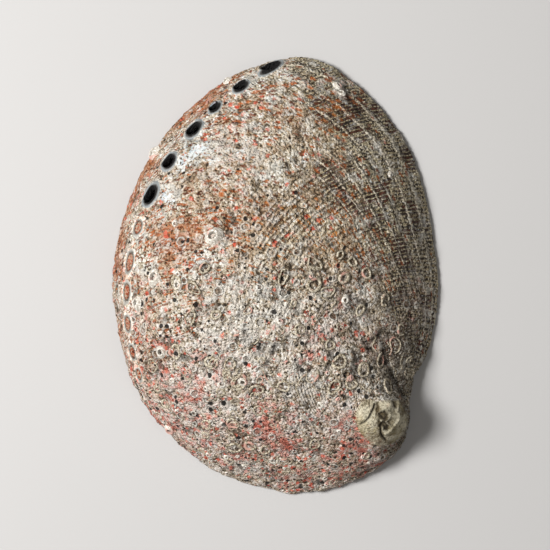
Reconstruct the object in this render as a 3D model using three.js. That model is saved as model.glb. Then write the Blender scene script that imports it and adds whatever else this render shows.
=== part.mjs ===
// An abalone shell lying on its rim with its rough outside up: one thin grown wall, a low dome over an
// open hollow, with a coiled spire at one corner and a row of breathing holes along the far side.
// Millimetres, +Z up. The rim rests on z = 0, +Y points to the front end, where the newest hole is.
import * as THREE from 'three';
import { mergeVertices } from 'three/addons/utils/BufferGeometryUtils.js';

// Driving dimensions
const HEIGHT = 46; // the crown above the surface that the rim rests on
const WALL = 3.4; // wall thickness over the crown
const CROWN = [-10, -8]; // highest point, in plan
const CROWN_OVAL = [70, 84]; // half widths of the oval that the levels near the crown follow
const CROWN_REACH = 0.75; // of the way to the rim, where the levels have taken the rim's own shape
const APEX = [43.3, -56.3]; // centre of the coiled spire, in plan
// Distance from the crown to the rim, every 15 degrees counterclockwise from +X
const RIM_RADII = [
  76.5, 77.5, 82, 89, 94.5, 99.5, 93, 82.5, 73.5, 66, 61, 58,
  56.5, 56.5, 58.5, 62.5, 66.5, 72.5, 78, 84, 87, 87, 75.5, 76,
];

// The wall: slope of its sides, and what the underside shows
const STEEP_SIDE = 165; // direction of the steepest wall, outside the holes, in degrees
const STEEP_POWER = 0.64; // how upright that wall ends on the rim
const GENTLE_POWER = 0.95; // the same on the gentle side, under the growing lip
const SPIRE_POWER = 0.52; // and at the corner that the spire fills
const LIP_WIDTH = 3.6; // flat rim under the growing lip
const SHELF_WIDTH = 10; // inner shelf along the holes' side
const SHELF_SIDE = 185; // direction of the middle of the shelf, in degrees
const SHELF_RISE = 1.4; // how far the shelf climbs towards the hollow
const EDGE_ROUND = 0.9; // round-over where the wall meets the rim
const EDGE_LIFT = 1.5; // height of that round-over
const RIM_WAVE = 1.9; // how far the rim arches off the surface between its rests

// Growth: the lip at an earlier stage s is the rim shrunk by exp(-s) about the apex and turned back
const TURN_LOG = 63.6; // degrees of turn for each unit of log(1 + s / TURN_STAGE)
const TURN_STAGE = 0.25;
const TURN_LINEAR = 11.3; // and for each unit of stage
const STAGE_STEP = 0.01;
const LAST_STAGE = 2.4;

// The row of breathing holes lies on one growth spiral about the apex
// Half length and half width of each hole, newest first
const HOLE_SIZES = [
  [4.2, 2.3], [2.9, 2.5], [2.3, 2], [3.3, 2.9], [3, 2.9], [3.8, 3.1],
  [3.2, 2.8], [4.4, 2.7], [3.9, 2.5], [3.4, 2.3], [3, 2.1], [2.7, 1.9],
];
const HOLES = HOLE_SIZES.length;
const OPEN_HOLES = 6; // the older ones are sealed
const ROW_RADIUS = 148.8; // distance from the apex that the row has reached at the front end
const ROW_ANGLE = 105.2; // and its direction there, in degrees
const HOLE_STAGES = [ // growth stage at which each hole was made, newest first
  0.0104, 0.033, 0.0563, 0.079, 0.1128, 0.1485, 0.185, 0.2265, 0.2657, 0.3119, 0.3587, 0.4005,
];
const COLLAR_CREST = 1.35; // the collar's crest, as a share of the hole's half sizes
const COLLAR_FOOT = 1.62; // and its foot
const COLLAR_HEIGHT = 0.9;
const HOLE_EDGE_HEIGHT = 0.25;
const PLUG_DEPTH = 0.9; // how deep a sealed hole's floor lies
const FRESH_PLUG_DEPTH = 2.0; // the newest sealed one is deeper

// Relief that shows from a step away
const KEEL_HEIGHT = 0.9; // ridge that carries the holes
const KEEL_WIDTH = 3.6;
const CHANNEL_DEPTH = 0.7; // furrow outside the keel
const CHANNEL_PLACE = 7.5;
const CHANNEL_WIDTH = 2.8;
const REST_HEIGHT = 0.55; // thickened ridges where growth paused
const REST_STAGE = 0.034; // growth from one pause to the next
const FOLD_HEIGHT = 0.4; // broad spiral folds
const FOLD_ANGLE = 6.5; // from fold to fold, in degrees of the lip
const SPIRE_RADIUS = 12.5;
const SPIRE_HEIGHT = 3.4;
const SUTURE_DEPTH = 1.5;
const SUTURE_START = 1.6; // radius at which the coil's seam begins
const WHORL_GROWTH = 2.6; // how much the coil widens in a turn
const LUMPS = 110; // crusts of old growth on the back, and worn hollows
const LUMP_HEIGHT = [-0.8, 1.3];
const LUMP_RADIUS = [2.4, 5];

// Mesh: rings of cells round a square core, with the holes centred on the ring ROW_RING
const STATIONS = 144;
const CELLS_BETWEEN_HOLES = 4;
const RINGS = 12;
const ROW_RING = 8;
const CORE_CELLS = STATIONS / 4;
const CORE_CORNER = 12; // station of the core's first corner
const OUTER_RINGS = [0, 0.38, 0.76, 0.89, 1]; // of the way from the row to the rim
const CORE_REACH = 0.44; // of the way to the rim, along the core's sides
const CORE_CORNER_REACH = 0.58;
const BLOCK = 2; // cells on each side of a hole's centre that give way to its collar

const TURN = 2 * Math.PI;
const radians = (degrees) => degrees * Math.PI / 180;
const wrap = (angle) => ((angle % TURN) + TURN) % TURN;
const mix = (a, b, t) => a + (b - a) * t;
const clamp01 = (t) => Math.min(1, Math.max(0, t));
const smooth = (low, high, x) => {
  const t = clamp01((x - low) / (high - low));
  return t * t * (3 - 2 * t);
};
const bell = (x, width) => Math.exp(-((x / width) ** 2));
const facing = (angle, degrees, spread) => { // 1 in that direction, fading to 0 at spread degrees from it
  const away = Math.abs(wrap(angle - radians(degrees) + Math.PI) - Math.PI);
  return 1 - smooth(0, radians(spread), away);
};

// The rim's distance from the crown in any direction: a closed Catmull-Rom curve through RIM_RADII
function rimRadius(angle) {
  const count = RIM_RADII.length;
  const place = wrap(angle) / TURN * count;
  const i = Math.floor(place) % count;
  const t = place - Math.floor(place);
  const [a, b, c, d] = [-1, 0, 1, 2].map((k) => RIM_RADII[(i + k + count) % count]);
  return b + 0.5 * t * (c - a + t * (2 * a - 5 * b + 4 * c - d + t * (3 * (b - c) + d - a)));
}

const planPoint = (angle, share) => [
  CROWN[0] + share * rimRadius(angle) * Math.cos(angle),
  CROWN[1] + share * rimRadius(angle) * Math.sin(angle),
];

function planPolar(x, y) { // direction from the crown, and share of the way to the rim
  const angle = Math.atan2(y - CROWN[1], x - CROWN[0]);
  return [angle, Math.hypot(x - CROWN[0], y - CROWN[1]) / rimRadius(angle)];
}

// How high the rim lies: flat on the surface in three long rests, arched a little between them
function rimHeight(angle) {
  return RIM_WAVE * Math.max(0, Math.cos(3 * (angle - radians(80))) - 0.25) / 0.75;
}

// The dome's height as a share of its full height, from 1 at the crown to 0 at the rim
function domeShare(angle, rimShare) {
  const oval = 1 / Math.hypot(Math.cos(angle) / CROWN_OVAL[0], Math.sin(angle) / CROWN_OVAL[1]);
  const share = rimShare * mix(rimRadius(angle) / oval, 1, smooth(0, CROWN_REACH, rimShare));
  const steep = facing(angle, STEEP_SIDE, 190);
  const corner = facing(angle, 317, 40);
  const power = mix(mix(GENTLE_POWER, STEEP_POWER, steep), SPIRE_POWER, corner);
  const roundness = mix(1.85, 2.15, steep);
  return Math.max(0, 1 - Math.min(1, share) ** roundness) ** power;
}

// The rim's distance from the apex in any direction, read off a table of rim points
const APEX_TABLE = (() => {
  const table = [];
  for (let k = 0; k < 720; k++) {
    const [x, y] = planPoint(k / 720 * TURN, 1);
    table.push([wrap(Math.atan2(y - APEX[1], x - APEX[0])), Math.hypot(x - APEX[0], y - APEX[1])]);
  }
  return table.sort((a, b) => a[0] - b[0]);
})();

function apexRadius(angle) {
  const a = wrap(angle);
  let low = 0;
  let high = APEX_TABLE.length;
  while (low < high) {
    const middle = (low + high) >> 1;
    if (APEX_TABLE[middle][0] < a) low = middle + 1;
    else high = middle;
  }
  const after = APEX_TABLE[low % APEX_TABLE.length];
  const before = APEX_TABLE[(low + APEX_TABLE.length - 1) % APEX_TABLE.length];
  const gap = wrap(after[0] - before[0]);
  return mix(before[1], after[1], gap ? wrap(a - before[0]) / gap : 0);
}

const turnAt = (stage) => radians(TURN_LOG * Math.log(1 + stage / TURN_STAGE) + TURN_LINEAR * stage);

// The growth stage of a plan point, and the direction on today's lip of the spiral that it lies on
function growthOf(x, y) {
  const angle = Math.atan2(y - APEX[1], x - APEX[0]);
  const radius = Math.hypot(x - APEX[0], y - APEX[1]);
  const excess = (stage) => Math.exp(-stage) * apexRadius(angle - turnAt(stage)) - radius;
  let before = excess(0);
  for (let stage = STAGE_STEP; stage <= LAST_STAGE; stage += STAGE_STEP) {
    const now = excess(stage);
    if (now < 0 && before >= 0) {
      const found = stage - STAGE_STEP * now / (now - before);
      return [found, angle - turnAt(found)];
    }
    before = now;
  }
  return [before < 0 ? 0 : LAST_STAGE, angle];
}

// The holes' centres and sizes, newest first
const holes = HOLE_STAGES.map((stage, i) => {
  const angle = radians(ROW_ANGLE) + turnAt(stage);
  const radius = ROW_RADIUS * Math.exp(-stage);
  const x = APEX[0] + radius * Math.cos(angle);
  const y = APEX[1] + radius * Math.sin(angle);
  const [bearing, share] = planPolar(x, y);
  const [halfLength, halfWidth] = HOLE_SIZES[i];
  return {
    x, y, share, halfLength, halfWidth,
    bearing: wrap(bearing), open: i < OPEN_HOLES, fresh: i === OPEN_HOLES,
  };
});

// The row's share of the way to the rim in any direction; past its ends it runs level to close
function rowShare(angle) {
  const first = holes[0].bearing;
  const turned = wrap(angle - first);
  for (let i = 0; i + 1 < HOLES; i++) {
    const low = wrap(holes[i].bearing - first);
    const high = wrap(holes[i + 1].bearing - first);
    if (turned >= low && turned <= high) {
      return mix(holes[i].share, holes[i + 1].share, (turned - low) / (high - low));
    }
  }
  const end = wrap(holes[HOLES - 1].bearing - first);
  return mix(holes[HOLES - 1].share, holes[0].share, (turned - end) / (TURN - end));
}

function inRow(angle) { // 1 along the row of holes, fading out past both ends of it
  const turned = wrap(angle - holes[0].bearing + radians(15));
  const end = wrap(holes[HOLES - 1].bearing - holes[0].bearing) + radians(15);
  return smooth(0, radians(12), turned) * (1 - smooth(end, end + radians(30), turned));
}

// Scattered lumps, placed by a small fixed random sequence
const lumps = (() => {
  let seed = 7;
  const random = () => {
    seed = (seed * 16807) % 2147483647;
    return seed / 2147483647;
  };
  return Array.from({ length: LUMPS }, () => {
    const [x, y] = planPoint(random() * TURN, Math.sqrt(random()) * 0.9);
    return { x, y, height: mix(...LUMP_HEIGHT, random()), radius: mix(...LUMP_RADIUS, random()) };
  });
})();

// The coiled spire: a knob whose whorls are parted by a spiral seam
function spireRelief(x, y) {
  const radius = Math.hypot(x - APEX[0], y - APEX[1]);
  const angle = Math.atan2(y - APEX[1], x - APEX[0]);
  const coil = Math.log(Math.max(radius, 0.3) / SUTURE_START) / Math.log(WHORL_GROWTH) + angle / TURN;
  const across = Math.abs(2 * (coil - Math.floor(coil)) - 1); // 0 on a whorl's crest, 1 on the seam
  const reach = 1 - smooth(SPIRE_RADIUS * 0.85, SPIRE_RADIUS * 1.35, radius);
  return SPIRE_HEIGHT * bell(radius ** 2, (SPIRE_RADIUS * 0.85) ** 2) - SUTURE_DEPTH * across ** 5 * reach;
}

function relief(x, y) {
  const [angle, share] = planPolar(x, y);
  const across = (share - rowShare(angle)) * rimRadius(angle);
  const [stage, lipAngle] = growthOf(x, y);
  const nearRim = 1 - smooth(0.93, 1, share);
  const awayFromSpire = smooth(SPIRE_RADIUS, SPIRE_RADIUS * 1.8, Math.hypot(x - APEX[0], y - APEX[1]));
  const pause = 1 - Math.abs(2 * (stage / REST_STAGE - Math.floor(stage / REST_STAGE)) - 1);
  let height = inRow(angle) * KEEL_HEIGHT * bell(across, KEEL_WIDTH);
  height -= inRow(angle) * CHANNEL_DEPTH * bell(across - CHANNEL_PLACE, CHANNEL_WIDTH) * nearRim;
  height += REST_HEIGHT * (pause ** 3 - 0.3) * nearRim * awayFromSpire;
  height += FOLD_HEIGHT * Math.cos(lipAngle / radians(FOLD_ANGLE) * TURN) * nearRim * awayFromSpire
    * smooth(0.15, 0.4, share);
  for (const lump of lumps) {
    height += lump.height * bell(Math.hypot(x - lump.x, y - lump.y), lump.radius) * nearRim;
  }
  return height + spireRelief(x, y);
}

function domePoint(angle, share) { // the plain outer surface, without relief
  const [x, y] = planPoint(angle, share);
  const low = rimHeight(angle) + EDGE_LIFT;
  return new THREE.Vector3(x, y, low + (HEIGHT - low) * domeShare(angle, share));
}

function outwardNormal(x, y) {
  const step = 0.4;
  const heightAt = (px, py) => {
    const [angle, share] = planPolar(px, py);
    return domePoint(angle, Math.min(share, 0.995)).z;
  };
  const dx = heightAt(x + step, y) - heightAt(x - step, y);
  const dy = heightAt(x, y + step) - heightAt(x, y - step);
  return new THREE.Vector3(-dx, -dy, 2 * step).normalize();
}

function outerPoint(x, y, extra = 0) {
  const [angle, share] = planPolar(x, y);
  const lift = share > 0.985 ? 0 : relief(x, y) + extra;
  return domePoint(angle, share).addScaledVector(outwardNormal(x, y), lift);
}

// The underside: the same dome, set in by the wall, with a shelf along the holes' side
function innerPoint(x, y) {
  const [angle, share] = planPolar(x, y);
  const shelf = facing(angle, SHELF_SIDE, 105);
  const lip = mix(LIP_WIDTH, mix(LIP_WIDTH, SHELF_WIDTH, shelf), smooth(0.88, 1, share));
  const plan = Math.max(0, share * (rimRadius(angle) - lip));
  const low = rimHeight(angle) + SHELF_RISE * shelf;
  const full = HEIGHT - WALL + spireRelief(x, y) * 0.8;
  const z = low + (full - low) * domeShare(angle, share);
  return new THREE.Vector3(CROWN[0] + plan * Math.cos(angle), CROWN[1] + plan * Math.sin(angle), z);
}

// Stations round the rim: one on each hole's bearing, the others spread evenly along the rim
const stations = (() => {
  const samples = 2880;
  const length = [0];
  for (let k = 1; k <= samples; k++) {
    const [ax, ay] = planPoint((k - 1) / samples * TURN + holes[0].bearing, 1);
    const [bx, by] = planPoint(k / samples * TURN + holes[0].bearing, 1);
    length.push(length[k - 1] + Math.hypot(bx - ax, by - ay));
  }
  const lengthAt = (turned) => length[Math.round(turned / TURN * samples)];
  const turnedAt = (wanted) => {
    const k = Math.max(1, length.findIndex((l) => l >= wanted - 1e-9));
    return (k - 1 + (wanted - length[k - 1]) / (length[k] - length[k - 1])) / samples * TURN;
  };
  const marks = holes.map((hole, i) => [i * CELLS_BETWEEN_HOLES, lengthAt(wrap(hole.bearing - holes[0].bearing))]);
  marks.push([STATIONS, length[samples]]);
  const bearings = [];
  for (let i = 0; i + 1 < marks.length; i++) {
    const [from, low] = marks[i];
    const [to, high] = marks[i + 1];
    for (let k = from; k < to; k++) {
      bearings.push(holes[0].bearing + turnedAt(mix(low, high, (k - from) / (to - from))));
    }
  }
  return bearings;
})();

function coreShare(station) { // a rounded square: furthest at its corners
  const along = ((station - CORE_CORNER + STATIONS) % CORE_CELLS) / CORE_CELLS;
  return mix(CORE_CORNER_REACH, CORE_REACH, Math.sin(along * Math.PI));
}

function ringShare(station, ring) { // rings pass from the core through the row of holes to the rim
  const row = rowShare(stations[station]);
  return ring <= ROW_RING
    ? mix(coreShare(station), row, ring / ROW_RING)
    : mix(row, 1, OUTER_RINGS[ring - ROW_RING]);
}

// Plan places of the mesh's vertices: rings[ring][station] and core[a][b]
const rings = Array.from({ length: RINGS + 1 }, (_, ring) => stations.map(
  (bearing, station) => planPoint(bearing, ringShare(station, ring)),
));

const core = (() => {
  const n = CORE_CELLS;
  const edge = (k) => rings[0][(CORE_CORNER + k) % STATIONS];
  const blend = (p, q, t) => [mix(p[0], q[0], t), mix(p[1], q[1], t)];
  return Array.from({ length: n + 1 }, (_, a) => Array.from({ length: n + 1 }, (_, b) => {
    if (b === 0) return edge(a);
    if (a === n) return edge(n + b);
    if (b === n) return edge(3 * n - a);
    if (a === 0) return edge(4 * n - b);
    const s = a / n;
    const t = b / n;
    const across = blend(edge(a), edge(3 * n - a), t);
    const along = blend(edge(4 * n - b), edge(n + b), s);
    const corners = blend(blend(edge(0), edge(n), s), blend(edge(3 * n), edge(2 * n), s), t);
    return [across[0] + along[0] - corners[0], across[1] + along[1] - corners[1]];
  }));
})();

const positions = [];
const triangle = (a, b, c) => positions.push(...a, ...b, ...c);
const quad = (a, b, c, d) => {
  triangle(a, b, c);
  triangle(a, c, d);
};

// Joins a closed loop to one of the same number of points
function band(loop, next) {
  loop.forEach((p, i) => {
    const k = (i + 1) % loop.length;
    quad(p, loop[k], next[k], next[i]);
  });
}

// Joins a closed loop to one of half as many points
function halvingBand(fine, coarse, flip = false) {
  const put = flip ? (a, b, c) => triangle(a, c, b) : triangle;
  coarse.forEach((p, i) => {
    const q = coarse[(i + 1) % coarse.length];
    const [f, g, h] = [0, 1, 2].map((k) => fine[(2 * i + k) % fine.length]);
    put(f, g, p);
    put(g, q, p);
    put(g, h, q);
  });
}

const inHoleBlock = (station, ring, onlyOpen) => holes.some((hole, i) => {
  const away = ((station - i * CELLS_BETWEEN_HOLES + STATIONS + STATIONS / 2) % STATIONS) - STATIONS / 2;
  return (hole.open || !onlyOpen) && away >= -BLOCK && away < BLOCK
    && ring >= ROW_RING - BLOCK && ring < ROW_RING + BLOCK;
});

// A skin over the whole plan, every `step` cells, from `surface(x, y)`; flipped for the underside
function skin(surface, step, flip, onlyOpen) {
  const put = flip ? (a, b, c, d) => quad(a, d, c, b) : quad;
  const ringPoints = rings.map((row, ring) => (ring % step ? null
    : row.map(([x, y], k) => (k % step ? null : surface(x, y).toArray()))));
  for (let ring = 0; ring < RINGS; ring += step) {
    for (let k = 0; k < STATIONS; k += step) {
      if (inHoleBlock(k, ring, onlyOpen)) continue;
      const next = (k + step) % STATIONS;
      put(ringPoints[ring][k], ringPoints[ring + step][k], ringPoints[ring + step][next], ringPoints[ring][next]);
    }
  }
  const corePoints = core.map((row, a) => row.map(([x, y], b) => (a % step || b % step ? null
    : surface(x, y).toArray())));
  for (let a = 0; a < CORE_CELLS; a += step) {
    for (let b = 0; b < CORE_CELLS; b += step) {
      put(corePoints[a][b], corePoints[a + step][b], corePoints[a + step][b + step], corePoints[a][b + step]);
    }
  }
  return ringPoints;
}

// The closed loop of cell corners round a hole's block, as [station, ring]
function blockLoop(index, step) {
  const loop = [];
  const walk = (du, dv, dx, dy) => {
    for (let n = 0; n < 2 * BLOCK; n += step) {
      const [u, v] = [du + dx * n, dv + dy * n];
      const station = (index * CELLS_BETWEEN_HOLES + u + STATIONS) % STATIONS;
      loop.push([station, ROW_RING + v]);
    }
  };
  walk(-BLOCK, -BLOCK, 0, 1);
  walk(-BLOCK, BLOCK, 1, 0);
  walk(BLOCK, BLOCK, 0, -1);
  walk(BLOCK, -BLOCK, -1, 0);
  return loop;
}

// A hole's collar, its edge, and its tunnel through the wall or the plug that seals it
function buildHole(hole, index, outer, inner) {
  const block = blockLoop(index, 1).map(([station, ring]) => outer[ring][station]);
  const before = holes[Math.max(0, index - 1)];
  const after = holes[Math.min(HOLES - 1, index + 1)];
  const along = new THREE.Vector3(after.x - before.x, after.y - before.y, 0).normalize();
  const normal = outwardNormal(hole.x, hole.y);
  along.addScaledVector(normal, -along.dot(normal)).normalize();
  const across = new THREE.Vector3().crossVectors(along, normal); // away from the crown
  const centre = outerPoint(hole.x, hole.y);
  const rays = block.map((corner) => {
    const offset = new THREE.Vector3(...corner).sub(centre);
    const [u, v] = [offset.dot(along), offset.dot(across)];
    const reach = Math.hypot(u, v);
    const direction = along.clone().multiplyScalar(u / reach).addScaledVector(across, v / reach);
    const radius = reach / Math.hypot(u / hole.halfLength, v / hole.halfWidth);
    return { direction, reach, radius };
  });
  // An oval round the hole, kept within `most` of the way to the block's border
  const oval = (grow, most, height) => rays.map(({ direction, reach, radius }) => {
    const distance = Math.min(radius * grow, reach * most);
    return outerPoint(hole.x + direction.x * distance, hole.y + direction.y * distance, height);
  });
  const foot = oval(COLLAR_FOOT, 0.92, 0).map((p) => p.toArray());
  const crest = oval(COLLAR_CREST, 0.82, COLLAR_HEIGHT).map((p) => p.toArray());
  const edge = oval(1, 0.7, HOLE_EDGE_HEIGHT);
  const edgePoints = edge.map((p) => p.toArray());
  band(block, foot);
  band(foot, crest);
  band(crest, edgePoints);
  if (!hole.open) {
    const depth = hole.fresh ? FRESH_PLUG_DEPTH : PLUG_DEPTH;
    const floor = oval(0.8, 0.56, -depth).map((p) => p.toArray());
    const middle = outerPoint(hole.x, hole.y, -depth * 0.8).toArray();
    band(edgePoints, floor);
    floor.forEach((p, i) => triangle(p, floor[(i + 1) % floor.length], middle));
    return;
  }
  const bottom = oval(0.95, 0.66, 0).map((p) => innerPoint(p.x, p.y).toArray());
  band(edgePoints, bottom);
  const innerBlock = blockLoop(index, 2).map(([station, ring]) => inner[ring][station]);
  halvingBand(bottom, innerBlock);
}

function buildShell() {
  const outer = skin(outerPoint, 1, false, false);
  const inner = skin(innerPoint, 2, true, true);
  const under = stations.map((bearing) => {
    const [x, y] = planPoint(bearing, 1 - EDGE_ROUND / rimRadius(bearing));
    return [x, y, rimHeight(bearing)];
  });
  const innerRim = inner[RINGS].filter(Boolean);
  band(under, outer[RINGS]);
  halvingBand(under, innerRim, true);
  holes.forEach((hole, index) => buildHole(hole, index, outer, inner));
  const geometry = new THREE.BufferGeometry();
  geometry.setAttribute('position', new THREE.Float32BufferAttribute(positions, 3));
  return mergeVertices(geometry, 1e-4);
}

const shell = new THREE.Mesh(
  buildShell(),
  new THREE.MeshStandardMaterial({ color: 0xb3a698, roughness: 0.85, metalness: 0 }),
);
shell.name = 'shell';

const abalone = new THREE.Group();
abalone.add(shell);
export default abalone;
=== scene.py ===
import math
import random

import bpy
import numpy as np
from mathutils import Matrix, Vector, noise


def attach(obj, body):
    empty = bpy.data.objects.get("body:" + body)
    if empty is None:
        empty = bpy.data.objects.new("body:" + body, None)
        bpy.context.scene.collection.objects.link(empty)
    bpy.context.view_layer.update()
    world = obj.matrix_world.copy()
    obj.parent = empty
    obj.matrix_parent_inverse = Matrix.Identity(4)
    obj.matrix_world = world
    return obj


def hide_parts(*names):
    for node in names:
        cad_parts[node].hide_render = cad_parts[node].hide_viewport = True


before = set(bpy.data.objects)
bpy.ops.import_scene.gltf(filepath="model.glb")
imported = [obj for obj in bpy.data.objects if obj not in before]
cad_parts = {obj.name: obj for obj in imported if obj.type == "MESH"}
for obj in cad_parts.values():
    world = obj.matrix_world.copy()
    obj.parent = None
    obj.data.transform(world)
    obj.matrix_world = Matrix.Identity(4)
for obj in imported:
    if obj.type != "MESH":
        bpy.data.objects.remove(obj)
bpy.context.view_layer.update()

# The shell is one thin wall of shell carbonate, grown at its lip for many years. Its outside is
# a chalky, ribbed skin, bored and crusted by sea life; its inside is smooth nacre. This piece is
# the solid's own surface, smoothed and roughened.
MM = 0.001
PIXEL = 0.41
CAMERA_HEIGHT = 800
# In millimetres, as in the solid: the spire's tip, the crown, and the rim's reach round the crown
APEX = (43.3, -56.3)
CROWN = (-10, -8)
RIM_RADII = [
    76.5, 77.5, 82, 89, 94.5, 99.5, 93, 82.5, 73.5, 66, 61, 58,
    56.5, 56.5, 58.5, 62.5, 66.5, 72.5, 78, 84, 87, 87, 75.5, 76,
]
# How the shell turns as it grows, and the row of holes from the newest to the oldest, with half sizes
TURN_LOG = 63.6
TURN_STAGE = 0.25
TURN_LINEAR = 11.3
ROW_RADIUS = 148.8
ROW_ANGLE = 105.2
HOLE_STAGES = [0.0104, 0.033, 0.0563, 0.079, 0.1128, 0.1485, 0.185, 0.2265, 0.2657, 0.3119, 0.3587, 0.4005]
HOLE_SIZES = [
    (4.2, 2.3), (2.9, 2.5), (2.3, 2), (3.3, 2.9), (3, 2.9), (3.8, 3.1),
    (3.2, 2.8), (4.4, 2.7), (3.9, 2.5), (3.4, 2.3), (3, 2.1), (2.7, 1.9),
]
OPEN_HOLES = 6
CORD_SPACING = 2.25
LINE_STAGE = 0.0042


def photo_place(px, py):
    """Plan place, in millimetres, of a point measured on the view from above."""
    return (px - 275.8) * PIXEL, (275 - py) * PIXEL


def rim_radius(angle):
    radii = np.array(RIM_RADII)
    place = (np.asarray(angle) / (2 * math.pi) * len(radii)) % len(radii)
    i = np.floor(place).astype(int) % len(radii)
    t = place - np.floor(place)
    a, b, c, d = (radii[(i + k) % len(radii)] for k in (-1, 0, 1, 2))
    return b + 0.5 * t * (c - a + t * (2 * a - 5 * b + 4 * c - d + t * (3 * (b - c) + d - a)))


def turn_at(stage):
    return np.radians(TURN_LOG * np.log(1 + stage / TURN_STAGE) + TURN_LINEAR * stage)


around = np.linspace(0, 2 * math.pi, 1440, endpoint=False)
rim_x = CROWN[0] + rim_radius(around) * np.cos(around)
rim_y = CROWN[1] + rim_radius(around) * np.sin(around)
lip_angle = np.arctan2(rim_y - APEX[1], rim_x - APEX[0]) % (2 * math.pi)
order = np.argsort(lip_angle)
lip_angle = lip_angle[order]
lip_radius = np.hypot(rim_x - APEX[0], rim_y - APEX[1])[order]
lip_steps = np.hypot(np.diff(rim_x[order]), np.diff(rim_y[order]))
lip_length = np.concatenate([[0], np.cumsum(np.minimum(lip_steps, 2))])


def growth_of(x, y):
    """Growth stage of plan points, and the lip angle of the spiral that each lies on."""
    angle = np.arctan2(y - APEX[1], x - APEX[0])
    radius = np.hypot(x - APEX[0], y - APEX[1])
    found = np.full(x.shape, 2.4)
    done = np.zeros(x.shape, bool)
    before = np.interp(angle % (2 * math.pi), lip_angle, lip_radius, period=2 * math.pi) - radius
    found[before < 0] = 0
    done[before < 0] = True
    for stage in np.arange(0.01, 2.4, 0.01):
        old = (angle - turn_at(stage)) % (2 * math.pi)
        now = math.exp(-stage) * np.interp(old, lip_angle, lip_radius, period=2 * math.pi) - radius
        hit = ~done & (now < 0) & (before >= 0)
        found[hit] = stage - 0.01 * now[hit] / (now[hit] - before[hit])
        done |= hit
        before = now
    return found, (angle - turn_at(found)) % (2 * math.pi)


def bell(x, width):
    return np.exp(-(x / width) ** 2)


def smooth(low, high, x):
    t = np.clip((x - low) / (high - low), 0, 1)
    return t * t * (3 - 2 * t)


bpy.ops.object.select_all(action="DESELECT")
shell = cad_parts["shell"].copy()
shell.data = shell.data.copy()
shell.name = "abalone_shell"
bpy.context.scene.collection.objects.link(shell)
shell.parent = None
shell.matrix_world = Matrix.Identity(4)
bpy.context.view_layer.objects.active = shell
shell.select_set(True)
bpy.ops.object.mode_set(mode="EDIT")
bpy.ops.mesh.select_all(action="SELECT")
bpy.ops.mesh.remove_doubles(threshold=0.00001)
bpy.ops.mesh.tris_convert_to_quads(face_threshold=math.radians(180), shape_threshold=math.radians(180))
bpy.ops.mesh.normals_make_consistent(inside=False)
bpy.ops.object.mode_set(mode="OBJECT")
smoothing = shell.modifiers.new("smoothing", "SUBSURF")
smoothing.levels = 2
smoothing.render_levels = 2
smoothing.use_limit_surface = False
bpy.ops.object.modifier_apply(modifier="smoothing")

hole_stages = np.array(HOLE_STAGES)
hole_angles = np.radians(ROW_ANGLE) + turn_at(hole_stages)
hole_x = APEX[0] + ROW_RADIUS * np.exp(-hole_stages) * np.cos(hole_angles)
hole_y = APEX[1] + ROW_RADIUS * np.exp(-hole_stages) * np.sin(hole_angles)
bpy.ops.object.mode_set(mode="EDIT")
bpy.ops.mesh.select_mode(type="FACE")
bpy.ops.mesh.select_all(action="DESELECT")
bpy.ops.object.mode_set(mode="OBJECT")
for face in shell.data.polygons:
    fx, fy, fz = face.center * 1000
    slope = face.normal.x * (fx - CROWN[0]) + face.normal.y * (fy - CROWN[1]) + 60 * face.normal.z
    face.select = slope > 0 and fz > 8 and math.hypot(fx - APEX[0], fy - APEX[1]) < 13
bpy.ops.object.mode_set(mode="EDIT")
bpy.ops.mesh.subdivide(number_cuts=2, smoothness=0)
bpy.ops.object.mode_set(mode="OBJECT")

mesh = shell.data
count = len(mesh.vertices)
places = np.empty(count * 3)
mesh.vertices.foreach_get("co", places)
places = places.reshape(-1, 3) * 1000
normals = np.empty(count * 3)
mesh.vertices.foreach_get("normal", normals)
normals = normals.reshape(-1, 3)
x, y, z = places.T
angle = np.arctan2(y - CROWN[1], x - CROWN[0])
share = np.hypot(x - CROWN[0], y - CROWN[1]) / rim_radius(angle)
away = np.stack([np.cos(angle) * share, np.sin(angle) * share, 0.25 + 0.9 * (1 - share.clip(0, 1))], 1)
facing_out = (normals * away).sum(1) / np.linalg.norm(away, axis=1)
outside = smooth(0.1, 0.45, facing_out)
stage, lip_place = growth_of(x, y)
cords = np.interp(lip_place, lip_angle, lip_length, period=2 * math.pi) / CORD_SPACING
lines = stage / LINE_STAGE

hole_reach = np.full(count, 9.0)
for i, (half_length, half_width) in enumerate(HOLE_SIZES):
    before, after = max(0, i - 1), min(len(HOLE_SIZES) - 1, i + 1)
    along = Vector((hole_x[after] - hole_x[before], hole_y[after] - hole_y[before])).normalized()
    u = (x - hole_x[i]) * along.x + (y - hole_y[i]) * along.y
    v = (x - hole_x[i]) * -along.y + (y - hole_y[i]) * along.x
    hole_reach = np.minimum(hole_reach, np.hypot(u / half_length, v / (half_width * 0.62)))
collar = (1 - smooth(1.5, 2.1, hole_reach)) * outside
sealed_below = hole_y[OPEN_HOLES - 1] - 5.5

apex_distance = np.hypot(x - APEX[0], y - APEX[1])
facing_up = smooth(0.1, 0.5, normals[:, 2])
on_spire = (1 - smooth(10.5, 13.5, apex_distance)) * facing_up


def fractal(scale, octaves=4, seed=0.0):
    """Fractal noise at every vertex, about -1 to 1; scale is the size of its largest lumps in mm."""
    return np.array([
        noise.fractal(Vector((p[0] / scale + seed, p[1] / scale, p[2] / scale)), 0.9, 2.1, octaves)
        for p in places
    ])


# Where each vertex is seen from the camera, straight above
seen_x, seen_y = x / (1 - z / CAMERA_HEIGHT), y / (1 - z / CAMERA_HEIGHT)


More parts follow.
